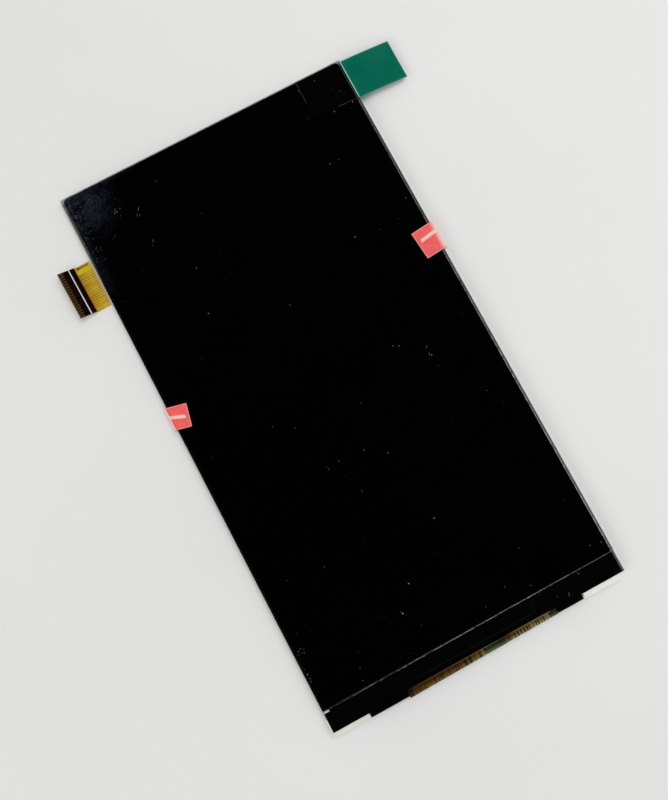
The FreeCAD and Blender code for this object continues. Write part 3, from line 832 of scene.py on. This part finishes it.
# Larger specks where the photograph shows them: place and half size
SPECKS = [
    (-9.77, -45.28, 0.15), (-9.3, -45.8, 0.05), (-10.05, -44.8, 0.05), (4.34, -32.24, 0.11),
    (-6.03, -40.89, 0.12), (-16.0, 24.47, 0.11), (19.4, -3.88, 0.12), (19.05, -3.55, 0.08),
    (14.56, 0.76, 0.09), (13.5, 1.37, 0.08), (20.08, 40.47, 0.09), (30.44, 49.97, 0.1),
    (29.3, 49.05, 0.07), (26.07, 49.87, 0.08), (25.59, 57.62, 0.1), (21.72, 57.21, 0.08),
    (-22.77, 51.79, 0.08), (-19.57, 42.18, 0.08), (17.36, 24.55, 0.08), (30.23, 26.89, 0.08),
    (-18.94, -30.46, 0.08), (14.59, -52.29, 0.07), (30.75, -51.6, 0.07), (28.5, -51.1, 0.07),
    (-11.41, -3.93, 0.07), (-6.82, -13.73, 0.06), (-9.28, -14.18, 0.06), (-1.47, -14.14, 0.06),
    (-5.6, -21.0, 0.06), (-31.15, -42.75, 0.05), (-30.8, -42.15, 0.07), (-30.4, -42.65, 0.05),
    (-30.25, -41.75, 0.06), (-29.7, -42.2, 0.05), (-31.3, -45.6, 0.05), (-31.25, -46.7, 0.08),
    (-31.2, -47.6, 0.06), (-31.3, -48.2, 0.07),
]
FAINT_SIZES = (0.02, 0.03, 0.03, 0.045, 0.06)


def film_dust():
    rng = random.Random(5)
    spots = list(SPECKS)
    for _ in range(150):
        x = rng.uniform(FILM_X0 + 1.0, FILM_X1 - 1.0)
        y = rng.uniform(FILM_Y0 + 1.0, FILM_Y1 - 1.0)
        spots.append((x, y, rng.choice(FAINT_SIZES)))
    for _ in range(60):
        # finer and thicker towards the hazy corner
        x = FILM_X0 + 0.4 + abs(rng.gauss(0.0, 3.0))
        y = FILM_Y1 - 0.6 - abs(rng.gauss(0.0, 6.0))
        spots.append((x, y, rng.uniform(0.02, 0.05)))
    for _ in range(70):
        # crumbs near the left edge above the tail
        x = FILM_X0 + 0.3 + abs(rng.gauss(0.0, 1.5))
        y = rng.uniform(44.0, 57.8)
        spots.append((x, y, rng.uniform(0.02, 0.045)))
    shape = Shape()
    for x, y, size in spots:
        sizes = (size, size * rng.uniform(0.5, 0.9), size * 0.5)
        shape.grain(Vector((x, y, FILM_Z)), rng.uniform(0.0, math.pi), sizes, rng)
    shape.make("film_dust", dust_look())


# Loose groups of short strokes: the middle of each and how many it has
STROKE_GROUPS = [(-22.7, 52.0, 3), (-18.9, 49.7, 3), (-19.6, 42.3, 1), (19.2, -3.6, 2)]
MIDDLE_MARK = ((-0.95, 18.6), (-0.65, 18.1))
STROKE_STEPS = 5


def film_scratches():
    # one short mark near the middle, and loose groups of short strokes near the hazy corner
    # and right of the middle
    rng = random.Random(9)
    marks = [MIDDLE_MARK]
    for x, y, count in STROKE_GROUPS:
        for _ in range(count):
            xa = x + rng.gauss(0.0, 0.6)
            ya = y + rng.gauss(0.0, 0.8)
            turn = rng.uniform(0.5, 1.4)
            reach = rng.uniform(0.25, 0.8)
            marks.append(((xa, ya), (xa + reach * math.cos(turn), ya + reach * math.sin(turn))))
    shape = Shape()
    for (xa, ya), (xb, yb) in marks:
        points = []
        for k in range(STROKE_STEPS + 1):
            t = k / STROKE_STEPS
            points.append((xa + (xb - xa) * t + rng.uniform(-0.03, 0.03), ya + (yb - ya) * t, FILM_Z))
        shape.strip(flat_frames(points), half=0.025, tall=0.006)
    look = simple("scratch", (0.05, 0.05, 0.06), (0.3, 0.3, 0.33), 0.25, (0.5, 0.7), spec=0.2)
    shape.make("film_scratches", look)


# Folded end of the circuit: ticks as place across it and half width, in millimetres
TICKS = [(-1.55, 0.06), (-1.25, 0.06), (-0.35, 0.13), (5.95, 0.06), (6.25, 0.06)]
WIDE_TICKS = [(7.35 + 0.7 * k, 0.15) for k in range(4)]

# Patches on the fold: spans across it, colour next to the tape, which holds painted shade, and colour round
# the outside, which holds painted light
COVERS = {
    "fold_cover": ([(0.62, 3.55)], (0.004, 0.006, 0.001), (0.1, 0.125, 0.06)),
    "fold_marks": ([(3.57, 5.3), (15.0, NECK_R + 0.13)], (0.004, 0.005, 0.0008), (0.085, 0.09, 0.055)),
    "fold_blocks": ([(-3.78, -3.24), (-2.7, -2.2), (NECK_L - 0.16, -14.95)],
                    (0.003, 0.0025, 0.0006), (0.03, 0.026, 0.012)),
    "fold_slits": ([(0.22, 0.5), (14.3, 14.92)], (0.11, 0.1, 0.05), (0.24, 0.22, 0.14)),
}


def uneven_ticks(rng, start, stop, halves, gaps):
    # places and half widths of ticks at uneven gaps
    spots = []
    x = start
    while x < stop:
        spots.append((x, rng.choice(halves)))
        x += rng.choice(gaps)
    return spots


def fold_ticks():
    # copper lines seen through the folded film as dark ticks
    rng = random.Random(11)
    spots = uneven_ticks(rng, NECK_L + 1.3, -4.2, (0.05, 0.07, 0.12), (0.42, 0.5, 0.62, 0.78))
    spots += TICKS + WIDE_TICKS
    spots += uneven_ticks(rng, 10.1, 14.2, (0.06, 0.08, 0.13), (0.5, 0.66, 0.85))
    shape = Shape()
    for x, half in spots:
        shape.strip(bend_frames(x, TAPE_NECK_END - 0.22, 1.6), half, tall=0.008)
    look = simple("fold_tick", (0.004, 0.002, 0.0005), (0.016, 0.008, 0.002), 0.4, (0.4, 0.55), spec=0.05)
    shape.make("fold_ticks", look)


def cover_look(name, top, outer):
    # painted shade where it leaves the tape, painted light round the outside of the fold
    look = Look(name)
    grain = look.noise(0.5, 4.0)
    colour = look.blend(look.band("Y", -58.75, -59.7), top, outer)
    shade = tuple(v * 0.5 for v in outer)
    colour = look.blend(look.remap(grain, 0.35, 0.65, 0.0, 0.35), colour, shade)
    return look.finish(colour, grain, (0.35, 0.5), (0.3, 0.004), spec=0.06)


def fold_covers():
    # broad patches with a thin edge
    rim = 0.02
    for name, (spans, top, outer) in COVERS.items():
        shape = Shape()
        for x0, x1 in spans:
            half = (x1 - x0) / 2.0
            frames = bend_frames((x0 + x1) / 2.0, TAPE_NECK_END - 0.02, 1.2)
            shape.strip(frames, half, tall=0.012, shoulder=1.0 - rim / half)
        shape.make(name, cover_look(name, top, outer))


def fold_lip_highlight():
    # painted highlight: pale line where the folded film leaves the tape
    look = Look("fold_lip_highlight")
    grain = look.noise(0.3, 4.0)
    colour = look.ramp(look.slope("X", NECK_L, NECK_R), [
        (0.02, (0.02, 0.014, 0.012)), (0.1, (0.07, 0.035, 0.018)), (0.45, (0.12, 0.07, 0.032)),
        (0.53, (0.15, 0.125, 0.08)), (0.6, (0.08, 0.075, 0.055)), (0.66, (0.018, 0.012, 0.012)),
        (0.72, (0.16, 0.115, 0.07)), (0.9, (0.18, 0.13, 0.07)),
    ])
    colour = look.blend(look.remap(grain, 0.4, 0.7, 0.0, 0.5), colour, (0.02, 0.012, 0.008))
    material = look.finish(colour, grain, (0.35, 0.5), (0.4, 0.005), spec=0.2)
    points = [(NECK_L + 0.2 + 0.8 * k, TAPE_NECK_END - 0.12, FLEX_TOP) for k in range(40)]
    strips("fold_lip_highlight", material, "amber_circuit", [flat_frames(points)], half=0.085, tall=0.014)


# Tail: lengths back from its end or from the start of the stiffener

WHITE_LINE_BACK = 2.36
BAR_BACK = (1.05, 0.34)
BAR_COUNT = 17
BAR_PITCH = 0.6
TRIM_BACK = 0.15
TRACE_COUNT = 15
TRACE_PITCH = 0.5
TRACE_FIRST = -3.75
TRACE_END = 0.15


def tail_line():
    # white line across the stiffener
    frames = tail_cross(TAIL_END - WHITE_LINE_BACK, 0.02, STIFF_T)
    look = simple("tail_line", (0.66, 0.64, 0.62), (0.8, 0.79, 0.77), 0.2, (0.4, 0.55))
    strips("tail_line", look, "stiffener", [frames], half=0.105, tall=0.008, shoulder=0.92)


def stiffener_bars():
    # ends of the copper showing through, and the trimmed outer edge
    shape = Shape()
    for k in range(BAR_COUNT):
        across = (k - BAR_COUNT // 2) * BAR_PITCH
        frames = tail_run(TAIL_END - BAR_BACK[0], TAIL_END - BAR_BACK[1], across, STIFF_T, 2)
        shape.strip(frames, half=0.165, tall=0.006, shoulder=0.85)
    frames = tail_cross(TAIL_END - TRIM_BACK, 0.03, STIFF_T)
    shape.strip(frames, half=0.13, tall=0.005, shoulder=0.85)
    look = simple("stiffener_bar", (0.05, 0.02, 0.004), (0.11, 0.065, 0.025), 0.3, (0.35, 0.5), spec=0.05)
    shape.make("stiffener_bars", look)


def tail_traces():
    # copper lines along the tail, with one more beside the ring pad
    rng = random.Random(21)
    start = STIFF_START - 0.02
    shape = Shape()
    for k in range(TRACE_COUNT):
        frames = tail_run(start, TRACE_END, TRACE_FIRST + TRACE_PITCH * k)
        shape.strip(frames, rng.choice((0.05, 0.06, 0.08)), tall=0.005, shoulder=0.7)
    shape.strip(tail_run(start, TRACE_END, -4.12), half=0.05, tall=0.005)
    look = simple("tail_trace", (0.14, 0.065, 0.005), (0.34, 0.19, 0.015), 0.5, (0.35, 0.5), spec=0.05)
    shape.make("tail_traces", look)


def tail_pads():
    # broad yellow copper block, and a ring pad
    shape = Shape()
    frames = tail_run(STIFF_START - 0.1, 0.35, across=3.86)
    shape.strip(frames, half=0.52, tall=0.007, shoulder=0.97)
    centre, normal = tail_spot(STIFF_START - 0.62, -TAIL_HALF + 0.62)
    shape.washer(centre, inner=0.19, outer=0.4, tall=0.008, up=normal)
    look = Look("tail_block")
    patches = look.noise(1.2, 3.0)
    colour = look.ramp(patches, [
        (0.35, (0.6, 0.38, 0.018)), (0.5, (0.58, 0.46, 0.012)), (0.65, (0.48, 0.5, 0.012)),
    ])
    material = look.finish(colour, patches, (0.3, 0.45), (0.3, 0.004), look.noise(0.3), spec=0.25)
    shape.make("tail_pads", material)


def tail_streak():
    # brown line beside the yellow block, greener towards the stiffener
    look = Look("tail_streak")
    patches = look.noise(0.7, 3.0)
    warm = look.tones(patches, (0.24, 0.11, 0.004), (0.36, 0.17, 0.008))
    colour = look.blend(look.band("X", -34.6, -35.2), warm, (0.075, 0.07, 0.004))
    material = look.finish(colour, patches, (0.35, 0.5), (0.3, 0.004), spec=0.2)
    frames = tail_run(STIFF_START - 0.45, 0.45, across=4.68)
    strips("tail_streak", material, "amber_circuit", [frames], half=0.23, tall=0.007, shoulder=0.85)


# Pull tab: lines on it from place to place, in millimetres

TAB_EDGES = [
    ((32.2, 50.15), (43.05, 49.85)),
    ((32.2, 58.78), (43.1, 58.45)),
    ((43.13, 49.9), (43.18, 58.4)),
]
TAB_CREASE = [((32.12, 50.2), (32.15, 58.72))]
TAB_OUTLINE = [((27.4, 50.38), (31.6, 50.27)), ((21.87, 54.3), (21.92, 59.0))]


def tab_z(x):
    run = max(x - TAB_BEND, 0.0) / TAB_RUN
    return TAB_TOP - TAB_DROP * run ** 1.6


def tab_frames(a, b, steps=10):
    # frames of a line on the upper face of the tab between two places
    points = []
    for k in range(steps + 1):
        x = a[0] + (b[0] - a[0]) * k / steps
        points.append((x, a[1] + (b[1] - a[1]) * k / steps, tab_z(x)))
    return flat_frames(points)


def tab_lines(name, look, lines, half, tall):
    strips(name, look, "green_tab", [tab_frames(a, b) for a, b in lines], half, tall)


def tab_edges():
    # cut edges with painted highlights where they gather the light, the pale crease along the module,
    # and the faint outline of the stretch that is glued to the film
    # painted highlight: the edge lines are a lighter green than the tab
    edge = simple("tab_edge", (0.02, 0.28, 0.18), (0.1, 0.42, 0.3), 0.4, (0.2, 0.3), spec=0.4)
    crease = simple("tab_crease", (0.24, 0.52, 0.42), (0.4, 0.66, 0.56), 0.5, (0.3, 0.4), spec=0.4)
    faint = simple("tab_outline", grey(0.006), (0.1, 0.1, 0.098), 0.35, (0.4, 0.6), spec=0.1)
    tab_lines("tab_edges", edge, TAB_EDGES, half=0.055, tall=0.008)
    tab_lines("tab_crease", crease, TAB_CREASE, half=0.1, tall=0.014)
    tab_lines("tab_outline", faint, TAB_OUTLINE, half=0.035, tall=0.006)


# Seals: section over the edge of the module, and lines along their sides and middle
SEAL_T = 0.06
SEAL_LEFT = Sheet([
    (-24.0, FILM_Z), (-31.6, FILM_Z), (-32.1, 1.4), (-32.42, 1.08), (-32.58, 0.75), (-32.56, 0.45),
    (-32.36, 0.15),
], SEAL_T)
SEAL_RIGHT = Sheet([
    (24.0, FILM_Z), (31.7, FILM_Z), (32.45, 1.4), (32.85, 1.12), (32.95, 0.8), (32.8, 0.5),
    (32.45, 0.28),
], SEAL_T)
LEFT_TOP = ((-28.05, 10.55), (-34.9, 12.18))
LEFT_LOW = ((-29.15, 5.9), (-36.0, 7.6))
LEFT_MIDDLE = ((-29.3, 8.25), (-32.3, 9.45))
LEFT_END = ((-28.14, 10.45), (-29.16, 6.02))
RIGHT_TOP = ((27.65, 19.7), (35.0, 20.4))
RIGHT_LOW = ((28.2, 13.7), (35.5, 14.35))
RIGHT_MIDDLE = ((28.7, 17.45), (32.0, 18.0))
RIGHT_END = ((28.24, 13.8), (27.73, 19.6))


def seal_borders():
    # pale cut edges of the paper
    inset = 0.07
    level = FILM_Z + SEAL_T
    runs = [
        SEAL_LEFT.along(LEFT_TOP, -28.2, -inset),
        SEAL_LEFT.along(LEFT_LOW, -29.2, inset),
        flat_frames([(*spot, level) for spot in LEFT_END]),
        SEAL_RIGHT.along(RIGHT_TOP, 27.8, -inset),
        SEAL_RIGHT.along(RIGHT_LOW, 28.3, inset),
        flat_frames([(*spot, level) for spot in RIGHT_END]),
    ]
    look = simple("seal_border", (0.78, 0.3, 0.27), (0.86, 0.5, 0.46), 0.3, (0.4, 0.55), spec=0.3)
    strips("seal_borders", look, "red_seal", runs, half=0.06, tall=0.008)


def seal_stripes():
    # plain pale stripe across the middle of each seal, going over the edge with it
    runs = [SEAL_LEFT.along(LEFT_MIDDLE, -29.35), SEAL_RIGHT.along(RIGHT_MIDDLE, 28.7)]
    look = simple("seal_stripe", (0.84, 0.46, 0.4), (0.94, 0.72, 0.62), 0.35, (0.4, 0.55), spec=0.3)
    strips("seal_stripes", look, "red_seal", runs, half=0.36, tall=0.006, shoulder=0.97)


# Underside of the circuit

BACK_LINES = 17
ARM_END = 34.5


def back_traces():
    # copper lines under the amber film: along the arm, and across the body to the fold
    cut = 0.6
    runs = []
    for k in range(BACK_LINES):
        x = BODY_L + 1.2 + 0.47 * k
        turn = -46.6 - 0.3 * k
        end = NECK_L + 1.2 + 1.3 * (BACK_LINES - 1 - k)
        route = [
            (x, ARM_END), (x, turn + cut), (x + cut, turn),
            (end - cut, turn), (end, turn - cut), (end, BODY_Y0 - 1.9),
        ]
        runs.append(flat_frames([(*spot, FLEX_LOW) for spot in route], DOWN))
    look = simple("back_trace", (0.3, 0.16, 0.028), (0.42, 0.24, 0.045), 0.4, (0.3, 0.45), spec=0.3)
    strips("back_traces", look, "amber_circuit", runs, half=0.07, tall=0.005, shoulder=0.7)


def back_pads():
    # round test pads on the body and on the arm
    radius, tall = 0.42, 0.012
    spots = [(-25.8 + 1.5 * k, -46.1) for k in range(4)]
    spots += [(8.2 + 1.6 * k, -46.6) for k in range(5)]
    spots += [(-19.0, 20.0 + 2.0 * k) for k in range(3)]
    shape = Shape()
    for x, y in spots:
        shape.pad(Vector((x, y, FLEX_LOW)), radius, tall, DOWN)
    shape.make("back_pads", LOOKS["gold_plate"])


# Half length of a small part, half width of its solder
SMALL = (0.5, 0.25)
BULK = (0.8, 0.4)
BULK_SPOTS = [(-12.6, -52.6), (-10.4, -52.6), (5.6, -52.2), (13.6, -49.4)]


def fillets():
    # solder at both ends of the small parts on the circuit
    reach, rise = 0.22, 0.2
    ends = [(-24.5 + 2.2 * k, -53.6, ALONG_Y, SMALL) for k in range(3)]
    ends += [(-6.0 + 2.4 * k, -49.0, ALONG_X, SMALL) for k in range(4)]
    ends += [(9.5 + 1.5 * k, -53.4, ALONG_Y, SMALL) for k in range(3)]
    ends += [(x, y, ALONG_Y, BULK) for x, y in BULK_SPOTS]
    ends += [(-2.5 + 2.0 * k, -52.6, ALONG_X, SMALL) for k in range(3)]
    shape = Shape()
    for x, y, way, (length, half) in ends:
        for out in (-way, way):
            foot = Vector((x, y, FLEX_LOW)) + out * length
            side = out.cross(UP) * half
            toe = foot + out * reach
            top = foot + DOWN * rise
            points = [foot - side, foot + side, toe + side, toe - side, top - side * 0.9, top + side * 0.9]
            faces = [(0, 1, 2, 3), (0, 4, 5, 1), (3, 2, 5, 4), (0, 3, 4), (1, 5, 2)]
            shape.add(points, faces)
    shape.make("solder_fillets", LOOKS["solder"])


# Floor, light and camera

FLOOR_SIZE = 900.0
REST_LOW = (-49.0, -0.603)
REST_HIGH = (46.0, -0.103)
SKY = [(0.0, 0.9), (0.3, 0.88), (0.6, 0.5), (0.8, 0.012), (1.0, 0.008)]
CAMERA_TURNS = (-4.5636, 2.682, 27.9753)
CAMERA_PLACE = (-8.501, -13.668, 139.404)
CAMERA_LENS = 31.5


def floor_height(y):
    # the module rests on its diode and on the arm of the circuit, so the floor rises a little along it
    slope = (REST_HIGH[1] - REST_LOW[1]) / (REST_HIGH[0] - REST_LOW[0])
    return REST_LOW[1] + (y - REST_LOW[0]) * slope


def floor():
    spots = [(-1, -1), (1, -1), (1, 1), (-1, 1)]
    points = [(x * FLOOR_SIZE, y * FLOOR_SIZE, floor_height(y * FLOOR_SIZE)) for x, y in spots]
    mesh = bpy.data.meshes.new("floor")
    mesh.from_pydata([tuple(Vector(p) * MM) for p in points], [], [(0, 1, 2, 3)])
    look = Look("floor")
    cloud = look.noise(60.0, 3.0)
    near = look.tones(cloud, (0.78, 0.78, 0.77), (0.81, 0.81, 0.8))
    bright = look.tones(cloud, (0.86, 0.86, 0.85), (0.88, 0.88, 0.87))
    # painted light: the floor goes from darker at the left to brighter towards the right
    colour = look.blend(look.band("X", -60.0, 120.0), near, bright)
    mesh.materials.append(look.done(look.surface(colour, look.gloss(cloud, 0.75, 0.85), spec=0.2)))
    obj = add_object("floor", mesh)


def world():
    # pale all round the horizon and dark overhead, which the glossy face mirrors
    sky = Look("studio", bpy.data.worlds)
    height = sky.node("ShaderNodeSeparateXYZ", {"Vector": sky.places["Generated"]}).outputs["Z"]
    colour = sky.ramp(height, [(place, grey(level)) for place, level in SKY])
    light = sky.node("ShaderNodeBackground", {"Color": colour, "Strength": 1.0})
    sky.node("ShaderNodeOutputWorld", {"Surface": light.outputs["Background"]})
    bpy.context.scene.world = sky.owner


def lamp(name, place, size, power):
    # soft round lamp that looks at the module and isn't mirrored in it
    data = bpy.data.lights.new(name, "AREA")
    data.shape = "DISK"
    data.size = size
    data.energy = power
    obj = add_object(name, data)
    obj.location = place
    obj.rotation_mode = "QUATERNION"
    obj.rotation_quaternion = (-obj.location).to_track_quat("-Z", "Y")
    obj.visible_camera = False
    obj.visible_glossy = False


def camera():
    data = bpy.data.cameras.new("camera")
    data.sensor_fit = "AUTO"
    data.sensor_width = 36.0
    data.lens = CAMERA_LENS
    data.clip_start = 0.01
    data.clip_end = 20.0
    obj = add_object("camera", data)
    turns = [math.radians(a) for a in CAMERA_TURNS]
    seen = Matrix.Rotation(turns[2], 3, "Z") @ Matrix.Rotation(turns[1], 3, "Y")
    seen = seen @ Matrix.Rotation(turns[0], 3, "X")
    place = Matrix.Translation(Vector(CAMERA_PLACE) * MM)
    obj.matrix_world = place @ seen.transposed().to_4x4()
    bpy.context.scene.camera = obj


dress_nodes()
film_edge()
film_dust()
film_scratches()
step_glint()
ledge_marks()
fold_ticks()
fold_covers()
fold_lip_highlight()
tail_line()
stiffener_bars()
tail_traces()
tail_pads()
tail_streak()
tab_edges()
seal_borders()
seal_stripes()
back_traces()
back_pads()
fillets()
floor()
world()
lamp("top", place=(0.38, 0.2, 1.0), size=1.1, power=7.4)
lamp("side", place=(-0.56, -0.26, 0.4), size=0.5, power=1.6)
camera()
bpy.context.scene.view_settings.view_transform = "Standard"
